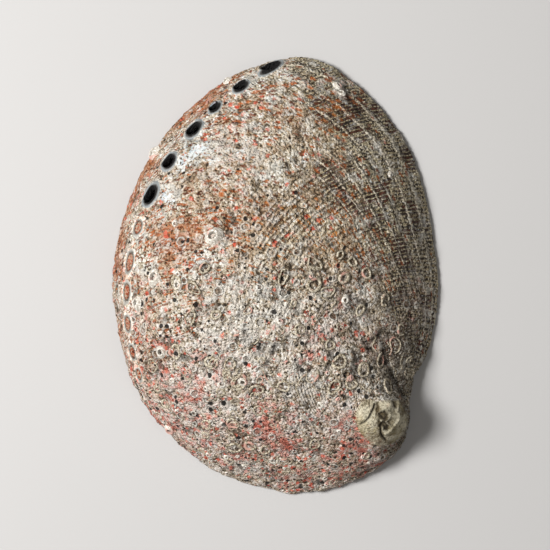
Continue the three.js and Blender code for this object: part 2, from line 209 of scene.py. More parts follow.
def from_line(*points):
    """Distance in mm from every vertex to a line through points measured on the view from above."""
    nearest = np.full(count, 99.0)
    for (ax, ay), (bx, by) in zip(points, points[1:]):
        (ax, ay), (bx, by) = photo_place(ax, ay), photo_place(bx, by)
        u, v = bx - ax, by - ay
        t = (((seen_x - ax) * u + (seen_y - ay) * v) / (u * u + v * v)).clip(0, 1)
        nearest = np.minimum(nearest, np.hypot(seen_x - ax - t * u, seen_y - ay - t * v))
    return nearest


def blobs(*list_of_blobs):
    """Sum of soft round patches given as (x, y, radius, strength) on the view from above."""
    total = np.zeros(count)
    for px, py, radius, strength in list_of_blobs:
        bx, by = photo_place(px, py)
        total += strength * bell(np.hypot(seen_x - bx, seen_y - by), radius * PIXEL)
    return total


broad = fractal(22, 2, 3.1)
crust = fractal(6, 4, 9.7)
grit = fractal(1.9, 3, 5.3)
crevices = bell(fractal(8, 3, 21.0), 0.09)
on_spire *= 1 - smooth(-52.5, -50, seen_y + 0.8 * crust)
ladder_edge = np.interp(seen_y, [-31, -10, 18, 51, 88], [47, 43, 37, 25, 4])
ladder = smooth(-8, 8, seen_x - ladder_edge + 5 * broad)
ladder += blobs((322, 168, 12, 0.9), (334, 188, 14, 0.9), (344, 204, 12, 0.6), (319, 103, 10, 0.8), (352, 120, 14, 0.5))
ladder = ladder.clip(0, 1)
lower = 1 - smooth(-20, 50, y + 0.35 * x)
combed = blobs((285, 222, 34, 1.1), (332, 190, 24, 1.1), (308, 402, 20, 1.0), (355, 245, 24, 0.5)).clip(0, 1)
ribs = np.cos(2 * math.pi * cords)
ledges = 1 - 2 * ((lines / 5 + 0.35 * crust) % 1)
rough = outside * (1 - collar) * smooth(0, 2.2, z)
body = 1 - on_spire
lift = (0.03 + 0.16 * np.maximum(combed, 0.7 * ladder)) * ribs * body + 0.16 * ledges * body * (0.3 + 0.7 * ladder)
rugged = blobs((392, 350, 34, 1.0), (345, 372, 30, 0.6), (262, 352, 26, 0.6)).clip(0, 1) + 0.35 * lower
lift += (0.48 - 0.26 * ladder + 0.7 * rugged) * (1 - 0.75 * on_spire) * crust
lift += (0.26 + 0.14 * rugged) * (1 - 0.8 * on_spire) * grit
lift -= 0.4 * crevices * body * (1 - 0.6 * ladder)

# Pits and low cells of old crusts, at scattered places
nearest = np.array([noise.voronoi(Vector(p) / 3.1, distance_metric="DISTANCE")[0][0] for p in places])
scattered = smooth(-0.1, 0.3, fractal(9, 2, 14.2)) * (0.2 + 0.8 * lower) * body
pits = (1 - smooth(0.1, 0.4, nearest)) * scattered
rims = bell(nearest - 0.44, 0.13) * scattered
lift += 0.35 * rims - 0.8 * pits

# The worn spire: two lobes, a deep furrow with bored hollows, cracks and a nodule
furrow = from_line((378, 403), (378, 410), (379.5, 419), (380.5, 427)) + 0.3 * np.abs(grit)
crack = np.minimum.reduce([
    from_line((375, 404), (374, 407), (372, 411), (369, 417), (365, 421), (361, 423.5)),
    from_line((392.5, 402), (393.5, 404), (394, 406)),
    from_line((380.5, 426), (381, 433), (382.5, 436.5), (385.5, 440)),
])
upper_hollow = from_line((384, 414), (384.8, 416.4)) + 0.7 * grit
lower_hollow = from_line((384.2, 424.6), (385.6, 426.6)) + 0.7 * grit
spire_ridge = from_line((398, 400), (397, 409), (398, 418), (395, 423), (390, 430), (385, 434)) + 0.5 * np.abs(grit)
seam = from_line((380, 335), (385, 352), (390, 368), (398, 384), (404, 397), (407, 410))
seam += 0.9 * np.abs(crust) + 0.5 * grit
fold = from_line((345, 90), (350, 100), (357, 108), (366, 120))
worn_hollow = np.minimum(
    from_line((250, 346), (262, 343), (275, 347)),
    from_line((258, 352), (263, 360), (267, 367), (271, 358), (274, 350)),
)
lift += facing_up * blobs(
    (388, 405, 5, 1.4), (367, 416, 12, 1.1), (400, 424, 10, 0.8), (386, 420, 9, -0.7))
lift += facing_up * (0.6 * bell(upper_hollow - 2.2, 0.5) - 0.9 * bell(upper_hollow, 1.5))
lift += facing_up * (0.6 * bell(lower_hollow - 1.7, 0.5) - 0.9 * bell(lower_hollow, 1.1))
lift += facing_up * (0.5 * bell(upper_hollow, 0.5) + 0.8 * bell(spire_ridge, 0.55))
lift -= facing_up * (0.8 * bell(furrow, 0.9) + 0.7 * bell(crack, 0.45) + 0.9 * bell(seam, 1.3)) + 0.6 * bell(fold, 0.6)
lift += 0.5 * bell(from_line((336, 84), (342, 92), (347, 101)), 1.6)
worn_hollow += 0.8 * np.abs(crust)
lift -= 0.6 * bell(worn_hollow, 0.8)
lift -= blobs((266, 350, 9, 0.3), (258, 348, 3, 0.6), (275, 346, 3, 0.6), (267, 361, 3, 0.5))
# Painted shade in the furrow, cracks, seam, fold, spire hollows and worn hollow, and a thin dark line near the holes
deep = np.maximum.reduce([
    0.5 * bell(furrow, 0.5), bell(crack, 0.4), 0.6 * bell(seam, 0.9), 0.85 * bell(fold, 0.6),
    0.85 * bell(upper_hollow - 1.1, 0.5), 0.85 * bell(lower_hollow - 0.8, 0.5),
    0.45 * blobs((386, 413, 4, 1), (388, 420, 4, 1), (383, 428, 4, 1)).clip(0, 1) * smooth(-0.1, 0.3, grit),
    0.6 * bell(from_line((163, 143), (180, 140), (200, 141), (222, 141), (240, 147)), 0.4),
    0.7 * bell(worn_hollow, 0.5), blobs((258, 348, 1.8, 1), (275, 346, 1.8, 1), (267, 361, 1.6, 1)),
])
# Painted shade round the worm coils, which are listed as (x, y, radius, turns) on the view from above
COILS = [
    (313, 263, 6, 1.3), (314, 285, 7, 2.1), (344, 278, 5, 1.8), (366, 273, 5, 1.6), (352, 262, 4.5, 1.2),
    (328, 292, 6, 0.75), (283, 277, 5.5, 0.8), (340, 255, 4, 0.9),
    (216, 315, 4.5, 1), (177, 283, 5, 1), (240, 382, 7.5, 1.4), (227, 375, 4, 1),
    (213, 364, 5, 1), (230, 364, 6, 1.1), (284, 386, 6, 1.2), (340, 362, 7, 1.9), (364, 370, 7, 1),
    (334, 387, 6.5, 1.2), (351, 383, 6, 1.5), (312, 376, 7, 0.7), (388, 386, 7, 1.7), (193, 288, 5, 1),
    (152, 366, 7, 1), (210, 362, 5, 0.9), (236, 382, 5, 0.9), (256, 390, 6, 0.8), (300, 330, 5, 0.9),
    (235, 448, 6, 1.4), (250, 446, 5.5, 1.6), (265, 450, 5, 1.3), (206, 425, 5, 1), (233, 423, 6, 1.1),
    (395, 345, 7, 0.8), (380, 360, 6, 0.9), (402, 330, 6, 0.7), (175, 352, 7, 1.1), (190, 318, 6, 1),
    (205, 268, 5, 1), (330, 345, 5, 1.2), (360, 310, 5, 1), (385, 300, 5, 0.8), (315, 445, 6, 1.1),
]
painted_coil_shade = np.zeros(count)
for px, py, radius, turns in COILS:
    (bx, by), wide = photo_place(px, py), radius * PIXEL
    off = np.abs(np.hypot(seen_x - bx, seen_y - by) - wide * (1 if turns < 1.2 else 0.7))
    painted_coil_shade = np.maximum(painted_coil_shade, bell(np.maximum(0, off - (0.1 if turns < 1.2 else 0.3) * wide), 0.75))
places += normals * (lift * rough)[:, None]
mesh.vertices.foreach_set("co", (places / 1000).ravel())
mesh.update()


def store(name, values):
    layer = mesh.attributes.new(name, "FLOAT", "POINT")
    layer.data.foreach_set("value", np.asarray(values, dtype=np.float32))


store("cords", cords)
store("lines", lines)
store("spire", on_spire)
store("ladder", ladder)
store("height", (lift * rough).clip(-1, 1.5))
store("deep", deep * outside * facing_up)
store("reach", np.where(outside > 0.02, hole_reach, 0.5))
store("combed", combed)
store("sealed", smooth(-0.3, 0.3, sealed_below - y) * (x < 0))
store("rosy", blobs(
    (272, 418, 28, 1.0), (365, 462, 36, 1.0), (150, 385, 46, 0.7), (300, 470, 40, 0.7), (135, 320, 28, 0.6),
    (215, 360, 40, 0.6), (170, 440, 34, 0.8), (190, 410, 40, 0.4), (250, 215, 30, 0.3), (122, 260, 14, 0.6),
    (342, 420, 22, 0.8),
    (310, 345, 30, 0.6), (240, 450, 40, 0.6), (170, 120, 12, 0.8), (205, 88, 14, 0.8), (130, 200, 10, 0.6),
    (412, 300, 14, 0.9), (372, 345, 18, 0.7), (398, 325, 12, 0.7), (330, 320, 24, 0.5), (345, 290, 22, 0.4),
).clip(0, 1))
store("rusty", np.clip(blobs(
    (205, 215, 52, 0.7), (165, 235, 40, 0.8), (285, 100, 44, 0.6), (220, 120, 36, 1.0), (335, 215, 34, 0.7),
    (180, 280, 50, 0.65), (138, 350, 24, 0.8), (335, 110, 30, 0.6), (150, 165, 22, 1.0), (124, 280, 16, 1.0),
    (120, 330, 12, 0.9), (270, 235, 40, 0.5), (190, 100, 20, 1.0), (352, 240, 28, 0.5),
    (378, 266, 22, 0.5),
) + 1.3 * bell(from_line((113, 270), (121, 216), (139, 168), (163, 128), (198, 94), (232, 72)), 3.4), 0, 1.4))
store("ochre", blobs(
    (295, 220, 36, 0.7), (345, 245, 30, 0.5), (305, 285, 30, 0.45), (330, 120, 30, 0.3), (265, 245, 30, 0.35),
).clip(0, 1))
store("pale", blobs(
    (210, 150, 26, 0.8), (245, 150, 30, 0.8), (172, 190, 12, 1.2), (174, 155, 8, 0.8), (338, 88, 10, 1.2),
    (200, 400, 60, 0.6), (310, 400, 30, 0.6), (220, 280, 40, 0.4), (120, 150, 16, 0.9), (300, 310, 50, 0.5),
    (240, 330, 60, 0.5), (150, 277, 12, 0.8), (213, 236, 12, 0.8), (300, 100, 30, 0.4), (285, 215, 40, 0.4),
).clip(0, 1))
store("chipped", blobs(
    (181, 163, 7, 0.8), (193, 150, 9, 0.5), (164, 196, 7, 0.8), (172, 203, 5, 0.6), (205, 148, 12, 0.4),
    (235, 150, 14, 0.3),
).clip(0, 1))
# Painted shade over the right side and lower right, and a browner darkening of the worn hollow
store("shaded", blobs(
    (266, 353, 10, 0.3), (398, 350, 24, 0.9), (412, 300, 26, 0.6), (420, 250, 22, 0.4), (400, 385, 12, 0.8),
).clip(0, 1))
store("lower", lower)
store("runged", blobs(
    (322, 164, 10, 1), (332, 182, 11, 1), (344, 202, 11, 1), (319, 103, 9, 1), (352, 112, 7, 1), (362, 136, 7, 1),
    (347, 160, 6, 1), (378, 108, 8, 1), (392, 126, 8, 1), (410, 166, 7, 1), (386, 180, 6, 1), (368, 198, 7, 1),
    (380, 222, 9, 1), (396, 240, 8, 1), (378, 262, 8, 1), (408, 270, 9, 1), (424, 226, 6, 1), (396, 300, 8, 1),
    (424, 300, 7, 1), (356, 228, 7, 1), (408, 206, 6, 1),
).clip(0, 1))
store("painted_coil_shade", painted_coil_shade)

# Nacre where the surface faces the hollow, and chalk elsewhere
mesh.materials.clear()
inside_vertex = facing_out < 0.05


def srgb(text):
    """A colour written as in a picture, for a shader."""
    parts = [int(text[i:i + 2], 16) / 255 for i in (1, 3, 5)]
    return tuple(p / 12.92 if p <= 0.04045 else ((p + 0.055) / 1.055) ** 2.4 for p in parts) + (1,)


def add(tree, kind, inputs=(), **settings):
    """Adds a node, sets its settings, and feeds or sets its inputs by name or number."""
    made = tree.nodes.new(kind)
    for name, value in settings.items():
        setattr(made, name, value)
    for name, value in dict(inputs).items():
        if isinstance(value, bpy.types.NodeSocket):
            tree.links.new(value, made.inputs[name])
        else:
            made.inputs[name].default_value = value
    return made


def attribute(tree, name):
    return add(tree, "ShaderNodeAttribute", attribute_name=name).outputs["Fac"]


def math_node(tree, operation, a, b=0.0, c=0.0, clamp=False):
    return add(tree, "ShaderNodeMath", {0: a, 1: b, 2: c}, operation=operation, use_clamp=clamp).outputs[0]


def blend(tree, amount, a, b, mode="MIX"):
    made = tree.nodes.new("ShaderNodeMix")
    made.data_type = "RGBA"
    made.blend_type = mode
    made.clamp_result = True
    for socket, value in ((0, amount), (6, a), (7, b)):
        if isinstance(value, bpy.types.NodeSocket):
            tree.links.new(value, made.inputs[socket])
        else:
            made.inputs[socket].default_value = value
    return made.outputs[2]


def step(tree, value, low, high):
    """0 below low, 1 above high, smooth between; low above high turns it round."""
    made = add(tree, "ShaderNodeMapRange", {0: value, 1: low, 2: high, 3: 0.0, 4: 1.0})
    made.interpolation_type = "SMOOTHSTEP"
    return made.outputs[0]


def colour_ramp(tree, value, stops):
    """A ramp through colours, each given with its position."""
    made = add(tree, "ShaderNodeValToRGB", {"Fac": value})
    elements = made.color_ramp.elements
    for element, (position, text) in ((elements[0], stops[0]), (elements[1], stops[-1])):
        element.position = position
        element.color = srgb(text)
    for position, text in stops[1:-1]:
        elements.new(position).color = srgb(text)
    return made.outputs[0]


def new_material(name):
    """A material with an empty node tree."""
    material = bpy.data.materials.new(name)
    material.use_nodes = True
    material.node_tree.nodes.clear()
    return material, material.node_tree


def place_in_mm(tree):
    place = add(tree, "ShaderNodeTexCoord").outputs["Object"]
    return add(tree, "ShaderNodeVectorMath", {0: place, 3: 1 / MM}, operation="SCALE").outputs[0]


def noise_at(tree, vector, scale, detail=4.0, rough=0.6):
    made = add(tree, "ShaderNodeTexNoise", {"Vector": vector, "Scale": scale, "Detail": detail, "Roughness": rough})
    return made.outputs["Fac"]


def times(tree, a, b):
    return math_node(tree, "MULTIPLY", a, b)


def scaled(tree, vector, *factors):
    return add(tree, "ShaderNodeVectorMath", {0: vector, 1: factors}, operation="MULTIPLY").outputs[0]


def spots(tree, vector, scale, seed=0.0):
    """Scattered cells: distance from each one's centre, and three random numbers of that cell."""
    moved = add(tree, "ShaderNodeVectorMath", {0: vector, 1: (seed, seed, seed)}, operation="ADD").outputs[0]
    made = add(tree, "ShaderNodeTexVoronoi", {"Vector": moved, "Scale": scale, "Randomness": 1.0})
    parts = add(tree, "ShaderNodeSeparateColor", {0: made.outputs["Color"]})
    return made.outputs["Distance"], parts.outputs[0], parts.outputs[1], parts.outputs[2]


crust_material, tree = new_material("shell_outside")
mm_place = place_in_mm(tree)
cord = attribute(tree, "cords")
line = attribute(tree, "lines")
grown = add(tree, "ShaderNodeCombineXYZ", {0: cord, 1: line, 2: 0.0}).outputs[0]
wobble = noise_at(tree, mm_place, 0.18, 3.0)
fine = noise_at(tree, mm_place, 1.15, 3.0, 0.75)
mid = noise_at(tree, mm_place, 0.3, 5.0, 0.7)
wide = noise_at(tree, mm_place, 0.07, 3.0, 0.6)
mask_ladder = attribute(tree, "ladder")
mask_combed = attribute(tree, "combed")
mask_lower = attribute(tree, "lower")
mask_spire = attribute(tree, "spire")
reach = attribute(tree, "reach")
height = attribute(tree, "height")

# Growth lines and cords as waves
line_place = math_node(tree, "MULTIPLY_ADD", wobble, 0.7, line)
fine_line = math_node(tree, "MULTIPLY_ADD", math_node(tree, "SINE", times(tree, line_place, math.tau / 2.6)), 0.5, 0.5)
band_place = math_node(tree, "MULTIPLY_ADD", wobble, 0.2, times(tree, line_place, 0.3))
band_line = math_node(tree, "PINGPONG", band_place, 0.5)
cord_wave = math_node(tree, "SINE", times(tree, math_node(tree, "MULTIPLY_ADD", wobble, 0.8, cord), math.tau))
cord_wave = math_node(tree, "MULTIPLY_ADD", cord_wave, 0.5, 0.5)
rung_wave = math_node(tree, "SINE", times(tree, math_node(tree, "MULTIPLY_ADD", wobble, 0.8, cord), math.tau * 1.3))
rung_wave = math_node(tree, "MULTIPLY_ADD", rung_wave, 0.5, 0.5)

# Base: gritty chalk grains, white to cream and grey, with dark gaps between
grain_gap, grain_tone, grain_hue, _ = spots(tree, mm_place, 0.95)
grain = math_node(tree, "MULTIPLY_ADD", mid, 0.3, times(tree, fine, 0.62))
grain = math_node(tree, "MULTIPLY_ADD", grain_tone, 0.18, grain)
grain = math_node(tree, "MULTIPLY_ADD", mask_lower, -0.008, math_node(tree, "ADD", grain, -0.024))
colour = colour_ramp(tree, grain, [
    (0.375, "#261d13"), (0.43, "#857760"), (0.48, "#c0b49d"), (0.55, "#e0d8c8"), (0.63, "#fbf9f4")])
yellowed = math_node(tree, "MULTIPLY_ADD", mask_lower, -0.6, 1.0)
tanned = times(tree, step(tree, grain_hue, 0.5, 0.9), times(tree, yellowed, 0.6))
colour = blend(tree, tanned, colour, srgb("#cdb287"), "MULTIPLY")
tanned = times(tree, step(tree, wide, 0.4, 0.62), times(tree, yellowed, 0.4))
colour = blend(tree, tanned, colour, srgb("#c0a078"), "MULTIPLY")
patch = noise_at(tree, mm_place, 0.11, 3.0, 0.6)
colour = blend(tree, times(tree, step(tree, patch, 0.56, 0.62), 0.45), colour, srgb("#c9ccc8"))
tanned = times(tree, step(tree, patch, 0.46, 0.4), times(tree, yellowed, 0.5))
colour = blend(tree, tanned, colour, srgb("#b8966a"), "MULTIPLY")
# Painted shade: the most sunken places of the crust darkened
colour = blend(tree, times(tree, step(tree, height, -0.1, -0.55), 0.7), colour, srgb("#3b2e20"))
combs = times(tree, mask_combed, step(tree, cord_wave, 0.5, 0.12))
colour = blend(tree, times(tree, combs, 0.5), colour, srgb("#5d4630"))

# The young part: pale continuous lines over an olive grey, with groups of dark brown rungs
between = step(tree, math_node(tree, "MULTIPLY_ADD", fine, 1.6, rung_wave), 0.95, 1.4)
gaps = blend(tree, between, srgb("#2a1d0b"), srgb("#ab9972"))
gaps = blend(tree, step(tree, fine, 0.53, 0.6), gaps, srgb("#eee4cc"))
gaps = blend(tree, times(tree, step(tree, fine_line, 0.6, 0.95), 0.6), gaps, srgb("#dbcda9"))
gaps = blend(tree, times(tree, step(tree, fine, 0.49, 0.4), 0.95), gaps, srgb("#1a120a"))
group_place = add(tree, "ShaderNodeCombineXYZ", {0: times(tree, cord, 0.16), 1: times(tree, band_place, 0.5), 2: 0.0})
group, group_chance, _, _ = spots(tree, group_place.outputs[0], 1.0)
_, rung_chance, rung_tone, _ = spots(tree, scaled(tree, grown, 1.0, 0.3, 1.0), 1.0, 31.0)
grouped = times(tree, step(tree, group_chance, 0.45, 0.52), step(tree, group, 0.6, 0.44))
runged = attribute(tree, "runged")
grouped = math_node(tree, "MAXIMUM", grouped, step(tree, math_node(tree, "MULTIPLY_ADD", mid, 0.6, runged), 0.62, 0.8))
brown = times(tree, grouped,
              times(tree, step(tree, rung_wave, 0.86, 0.58), step(tree, band_line, 0.05, 0.1)))
brown = times(tree, brown, times(tree, step(tree, rung_chance, 0.2, 0.3), step(tree, fine, 0.38, 0.45)))
groove = times(tree, step(tree, band_line, 0.28, 0.2), step(tree, band_line, 0.1, 0.15))
gaps = blend(tree, times(tree, groove, step(tree, fine, 0.6, 0.46)), gaps, srgb("#251b0f"))
gaps = blend(tree, brown, gaps, blend(tree, rung_tone, srgb("#190800"), srgb("#5e2809")))
broken = times(tree, step(tree, fine, 0.43, 0.53), step(tree, mid, 0.3, 0.52))
gaps = blend(tree, times(tree, step(tree, band_line, 0.13, 0.04), broken), gaps, srgb("#eee4d0"))
chalky = times(tree, step(tree, patch, 0.5, 0.6), step(tree, mid, 0.44, 0.54))
chalky = times(tree, chalky, math_node(tree, "MULTIPLY_ADD", runged, -0.8, 1.0))
bare = times(tree, mask_ladder, math_node(tree, "MULTIPLY_ADD", chalky, -0.7, 0.95))
colour = blend(tree, bare, colour, gaps)

# Rust flecks in rows
rust = attribute(tree, "rusty")
stain = times(tree, step(tree, wide, 0.42, 0.54), times(tree, rust, 0.4))
colour = blend(tree, stain, colour, srgb("#dcae80"), "MULTIPLY")
skin = step(tree, math_node(tree, "MULTIPLY_ADD", fine_line, -0.16, fine), 0.34, 0.42)
skin = times(tree, step(tree, rust, 1.12, 1.4), skin)
colour = blend(tree, times(tree, skin, 0.55), colour, srgb("#b5683a"))
ochre = attribute(tree, "ochre")
colour = blend(tree, times(tree, ochre, step(tree, mid, 0.3, 0.6)), colour, srgb("#f2e2bf"), "MULTIPLY")
fleck, fleck_chance, fleck_tone, _ = spots(tree, scaled(tree, grown, 0.3, 0.48, 1.0), 2.2, 7.0)
flecks = times(tree, step(tree, math_node(tree, "MULTIPLY_ADD", rust, 0.75, fleck_chance), 0.86, 0.94),
               step(tree, math_node(tree, "MULTIPLY_ADD", fine, 1.2, fleck), 1.1, 0.98))
fleck_colour = blend(tree, ochre, blend(tree, fleck_tone, srgb("#54200a"), srgb("#c4692a")),
                     blend(tree, fleck_tone, srgb("#5a2c0a"), srgb("#c88a35")))
colour = blend(tree, times(tree, flecks, 0.85), colour, fleck_colour)

# Coral crusts: a faint blush, dusty patches, and small bright spots
rosy = attribute(tree, "rosy")
blush = times(tree, step(tree, mid, 0.4, 0.54), times(tree, rosy, 0.6))
colour = blend(tree, blush, colour, srgb("#e9b8aa"), "MULTIPLY")
coral = times(tree, noise_at(tree, mm_place, 0.42, 2.0, 0.5), 0.4)
coral = math_node(tree, "MULTIPLY_ADD", noise_at(tree, mm_place, 0.14, 3.0, 0.5), 0.6, coral)
coral = math_node(tree, "MULTIPLY_ADD", rosy, 0.17, coral)
dusty = times(tree, step(tree, coral, 0.664, 0.682), step(tree, fine, 0.35, 0.45))
coral_colour = blend(tree, step(tree, coral, 0.7, 0.75), srgb("#d9a092"), srgb("#cf6552"))
colour = blend(tree, times(tree, dusty, 0.7), colour, coral_colour)
bright, bright_chance, bright_tone, _ = spots(tree, mm_place, 0.4, 23.0)
bright = times(tree, step(tree, math_node(tree, "MULTIPLY_ADD", rosy, 0.27, bright_chance), 0.9, 0.93),
               step(tree, math_node(tree, "MULTIPLY_ADD", fine, 1.4, bright), 1.16, 1.0))
bright = times(tree, bright, math_node(tree, "MULTIPLY_ADD", mask_ladder, -0.8, 0.85))
colour = blend(tree, bright, colour, blend(tree, bright_tone, srgb("#d1452b"), srgb("#e27c62")))
pale = attribute(tree, "pale")
chalk = step(tree, math_node(tree, "MULTIPLY_ADD", pale, 0.15, mid), 0.56, 0.64)
colour = blend(tree, times(tree, chalk, 0.55), colour, srgb("#e2ddd3"))
chips = step(tree, math_node(tree, "MULTIPLY_ADD", attribute(tree, "chipped"), 0.3, grain), 0.66, 0.7)
chip_colour = blend(tree, step(tree, mid, 0.42, 0.58), srgb("#8b9aa3"), srgb("#c3caca"))
colour = blend(tree, times(tree, chips, 0.85), colour, chip_colour)
shaded = attribute(tree, "shaded")
# Painted shade over the right side, then painted highlights on the grit tops within it
colour = blend(tree, times(tree, shaded, 0.8), colour, srgb("#80694c"), "MULTIPLY")
colour = blend(tree, times(tree, shaded, step(tree, fine, 0.54, 0.61)), colour, srgb("#e6e0d4"))
colour = blend(tree, times(tree, step(tree, grain, 0.44, 0.395), 0.65), colour, srgb("#2a2016"))
# Painted shade: dark rings round the worm coils, where their shadows fall
coil_shade_amount = times(tree, attribute(tree, "painted_coil_shade"), step(tree, fine, 0.62, 0.48))
colour = blend(tree, times(tree, coil_shade_amount, 0.75), colour, srgb("#3a2d1e"))

# Ring scars and bored pits
round_spot, round_chance, round_size, _ = spots(tree, mm_place, 0.2, 11.0)
ring_mask = times(tree, step(tree, round_chance, 0.62, 0.66), math_node(tree, "MULTIPLY_ADD", mask_lower, 0.75, 0.2))
size = math_node(tree, "MULTIPLY_ADD", round_size, 0.2, 0.22)
from_ring = math_node(tree, "ABSOLUTE", math_node(tree, "SUBTRACT", math_node(
    tree, "MULTIPLY_ADD", fine, 0.12, round_spot), size))
ring = times(tree, step(tree, from_ring, 0.1, 0.04), ring_mask)
hollow = times(tree, step(tree, math_node(tree, "SUBTRACT", round_spot, size), -0.08, -0.16), ring_mask)
colour = blend(tree, times(tree, ring, 0.75), colour, srgb("#e4dfd4"))
colour = blend(tree, times(tree, hollow, 0.5), colour, srgb("#6a5543"))
# Bored pits painted near black: painted shade inside the pits
bore_spot, bore_chance, bore_size, _ = spots(tree, mm_place, 0.36, 17.0)
bore = times(tree, step(tree, math_node(tree, "SUBTRACT", bore_spot, times(tree, bore_size, 0.2)), 0.2, 0.14),
             step(tree, math_node(tree, "MULTIPLY_ADD", mask_lower, 0.2, bore_chance), 0.93, 0.95))
bore = times(tree, bore, math_node(tree, "MULTIPLY_ADD", mask_ladder, -0.9, 1.0))
colour = blend(tree, times(tree, bore, 0.95), colour, srgb("#0e0a07"))
speck, speck_chance, _, _ = spots(tree, mm_place, 0.75, 41.0)
specks = step(tree, math_node(tree, "MULTIPLY_ADD", mask_lower, 0.12, speck_chance), 0.86, 0.9)
specks = times(tree, step(tree, speck, 0.34, 0.24), specks)
colour = blend(tree, times(tree, specks, 0.85), colour, srgb("#1c150f"))

# Spire: worn smooth, olive cream
worn = math_node(tree, "MULTIPLY_ADD", height, 0.22, mid)
worn = blend(tree, step(tree, worn, 0.4, 0.66), srgb("#6f6042"), srgb("#d6cdb2"))
worn = blend(tree, times(tree, step(tree, patch, 0.5, 0.58), 0.4), worn, srgb("#a5945e"))
worn = blend(tree, times(tree, step(tree, fine, 0.5, 0.38), 0.6), worn, srgb("#4f4630"))
worn_edge = step(tree, math_node(tree, "MULTIPLY_ADD", fine, 1.3, times(tree, mask_spire, 0.7)), 0.95, 1.2)
colour = blend(tree, times(tree, worn_edge, 0.9), colour, worn)

# Holes: painted shade within, then a grey ring and a pale worn band; the sealed ones hold a rusty growth
sealed = attribute(tree, "sealed")
reach_wobble = math_node(tree, "MULTIPLY_ADD", mid, 1.2, math_node(tree, "ADD", reach, -0.6))
worn_band = times(tree, step(tree, reach_wobble, 2.0, 1.6), step(tree, fine, 0.36, 0.5))
worn_band = times(tree, worn_band, math_node(tree, "MULTIPLY_ADD", sealed, -0.5, 0.7))
colour = blend(tree, worn_band, colour, srgb("#cfcabf"))
ring_edge = step(tree, math_node(tree, "MULTIPLY_ADD", mid, 0.5, reach), 1.38, 1.62)
ring_colour = blend(tree, ring_edge, srgb("#3f3c39"), srgb("#848888"))
ring_colour = blend(tree, times(tree, sealed, 0.6), ring_colour, srgb("#c8c4ba"))
ring_reach = math_node(tree, "MULTIPLY_ADD", sealed, 0.34, reach_wobble)
colour = blend(tree, step(tree, ring_reach, 1.6, 1.5), colour, ring_colour)
growth = blend(tree, step(tree, fine, 0.47, 0.54), srgb("#b84b1c"), srgb("#b9a78f"))
growth = blend(tree, times(tree, step(tree, reach, 0.6, 0.85), 0.8), growth, srgb("#4d483d"))
# Open holes get near-black painted shade on their edges and walls; sealed ones show their growth
within = blend(tree, times(tree, sealed, step(tree, fine, 0.34, 0.46)), srgb("#0b0908"), growth)
colour = blend(tree, step(tree, math_node(tree, "MULTIPLY_ADD", sealed, 0.16, reach), 1.12, 1.0), colour, within)
# Painted shade in the creases and hollows, with the thin dark line near the holes
colour = blend(tree, attribute(tree, "deep"), colour, srgb("#1a140d"))

relief = times(tree, fine, 0.9)
relief = math_node(tree, "MULTIPLY_ADD", mid, 0.9, relief)
relief = math_node(tree, "MULTIPLY_ADD", grain_gap, -0.7, relief)
relief = math_node(tree, "MULTIPLY_ADD", fine_line, math_node(tree, "MULTIPLY_ADD", mask_ladder, 0.45, 0.05), relief)
relief = math_node(tree, "MULTIPLY_ADD", step(tree, band_line, 0.12, 0.02), times(tree, mask_ladder, 0.5), relief)
relief = math_node(tree, "MULTIPLY_ADD", cord_wave, math_node(tree, "MULTIPLY_ADD", mask_combed, 0.4, 0.08), relief)
relief = math_node(tree, "MULTIPLY_ADD", rung_wave, times(tree, mask_ladder, 0.5), relief)
relief = math_node(tree, "MULTIPLY_ADD", ring, 0.6, relief)
relief = math_node(tree, "MULTIPLY_ADD", dusty, 0.2, relief)
relief = math_node(tree, "MULTIPLY_ADD", bore, -0.9, relief)
relief = math_node(tree, "MULTIPLY_ADD", hollow, -0.5, relief)
relief = math_node(tree, "MULTIPLY_ADD", brown, times(tree, mask_ladder, -0.4), relief)
polish = math_node(tree, "MAXIMUM", times(tree, step(tree, reach, 1.7, 1.4), step(tree, reach, 1.0, 1.15)), chips)
quiet = math_node(tree, "MAXIMUM", polish, times(tree, mask_spire, 0.4))
bumps = add(tree, "ShaderNodeBump", {
    "Strength": math_node(tree, "MULTIPLY_ADD", quiet, -0.85, 1.0), "Distance": 0.0015, "Height": relief})
shader = add(tree, "ShaderNodeBsdfPrincipled", {
    "Base Color": colour, "Roughness": math_node(tree, "MULTIPLY_ADD", polish, -0.3, 0.82),
    "Specular IOR Level": 0.35, "Normal": bumps.outputs[0]})
add(tree, "ShaderNodeOutputMaterial", {"Surface": shader.outputs[0]})
mesh.materials.append(crust_material)

nacre, tree = new_material("nacre")
mm_place = place_in_mm(tree)
stage_line = times(tree, attribute(tree, "lines"), 0.012)
swirl = noise_at(tree, mm_place, 0.035, 2.0, 0.5)
phase = math_node(tree, "FRACT", math_node(tree, "MULTIPLY_ADD", swirl, 3.4, stage_line))
pearl = colour_ramp(tree, phase, [
    (0.0, "#d9c3d2"), (0.22, "#a9cfc4"), (0.42, "#8fb9cf"), (0.6, "#d8cfe0"), (0.8, "#e9b9b4"), (1.0, "#d9c3d2")])
pearl = blend(tree, 0.45, pearl, srgb("#e8e4dd"))
ripple = add(tree, "ShaderNodeBump", {"Strength": 0.35, "Distance": 0.0006, "Height": swirl})
shader = add(tree, "ShaderNodeBsdfPrincipled", {
    "Base Color": pearl, "Metallic": 0.45, "Roughness": 0.22, "Coat Weight": 0.5, "Coat Roughness": 0.08,
    "Normal": ripple.outputs[0]})
add(tree, "ShaderNodeOutputMaterial", {"Surface": shader.outputs[0]})
mesh.materials.append(nacre)
under_sealed = (y < sealed_below) & (normals[:, 2] < -0.5)
inside_vertex &= (hole_reach > 1.4) | (facing_out < -0.8) | (z < 3) | under_sealed
inner_faces = [sum(inside_vertex[v] for v in f.vertices) > len(f.vertices) / 2 for f in mesh.polygons]
mesh.polygons.foreach_set("material_index", np.array(inner_faces, dtype=np.int32))
